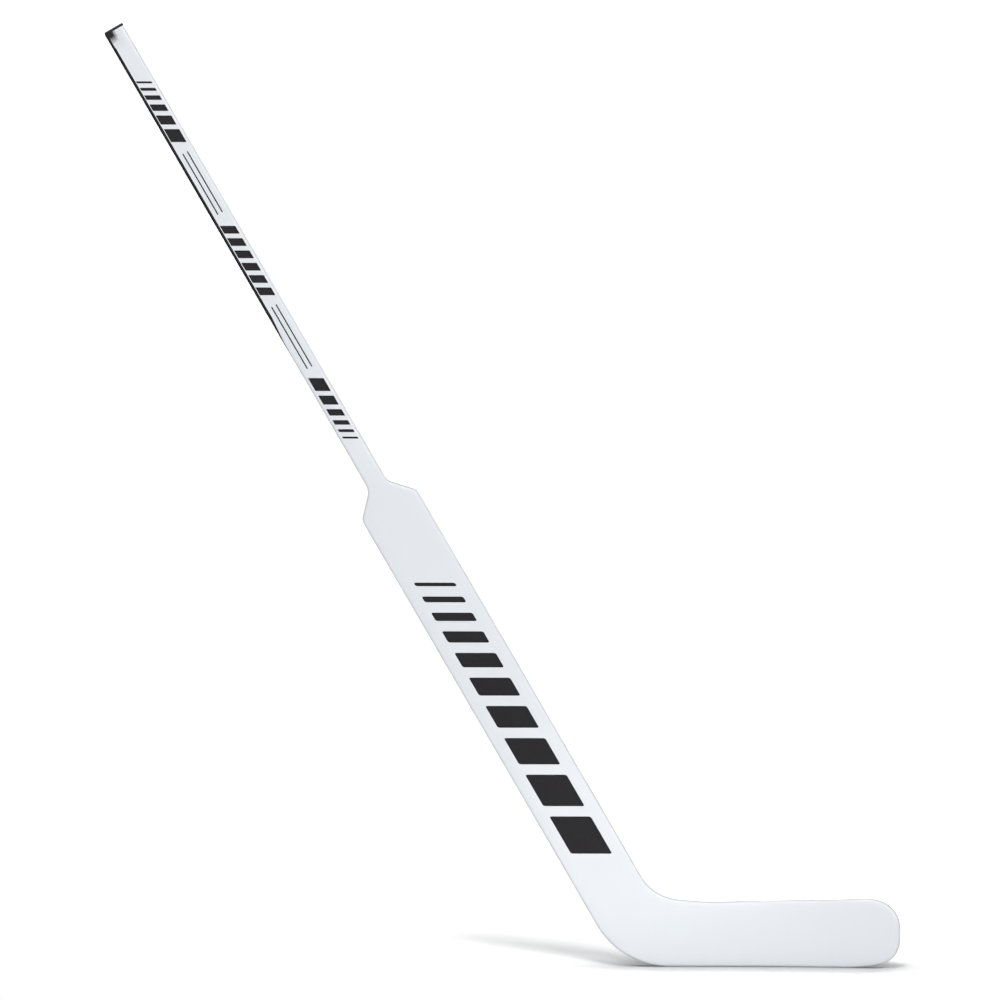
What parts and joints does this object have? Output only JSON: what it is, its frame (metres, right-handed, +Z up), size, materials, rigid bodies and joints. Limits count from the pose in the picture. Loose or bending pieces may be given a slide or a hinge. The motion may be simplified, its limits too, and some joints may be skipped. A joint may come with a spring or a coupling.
{
  "type": "hockey goalie stick",
  "caption": "White foam-core hockey goalie stick with a slim shaft, a wide paddle with sloping shoulders and a curved blade, standing on its sole.",
  "frame": {"origin": "middle of the flat sole of the blade, on the ice", "axes": "+X along the blade towards the toe, +Z up from the ice, -Y is the front face"},
  "size_m": [1.0631, 0.0335, 1.2648],
  "materials": {
    "white_laminate": "glass-fibre ply under white paint and gloss clear coat",
    "edge_strip": "tough plastic strip under white paint and gloss clear coat",
    "aspen": "straight-grained aspen, painted white where it shows",
    "hardwood": "birch block, painted white where it shows",
    "birch_plywood": "sanded birch plywood",
    "rigid_foam": "rigid closed-cell polyurethane foam",
    "black_cap": "moulded black plastic, satin"
  },
  "bodies": {
    "root": {"blade_back_skin": "white_laminate", "blade_foam": "rigid_foam", "blade_front_skin": "white_laminate", "blade_top_strip": "edge_strip", "butt_cap": "black_cap", "edge_rail_heel_side": "edge_strip", "edge_rail_toe_side": "edge_strip", "heel_block": "hardwood", "heel_strip": "edge_strip", "heel_tongue": "birch_plywood", "paddle_back_skin": "white_laminate", "paddle_front_skin": "white_laminate", "shaft_back_laminate": "white_laminate", "shaft_core": "aspen", "shaft_front_laminate": "white_laminate", "shoulder_block_heel_side": "hardwood", "shoulder_block_toe_side": "hardwood", "sole_strip": "edge_strip", "wing_foam_heel_side": "rigid_foam", "wing_foam_toe_side": "rigid_foam"}
  },
  "joints": []
}
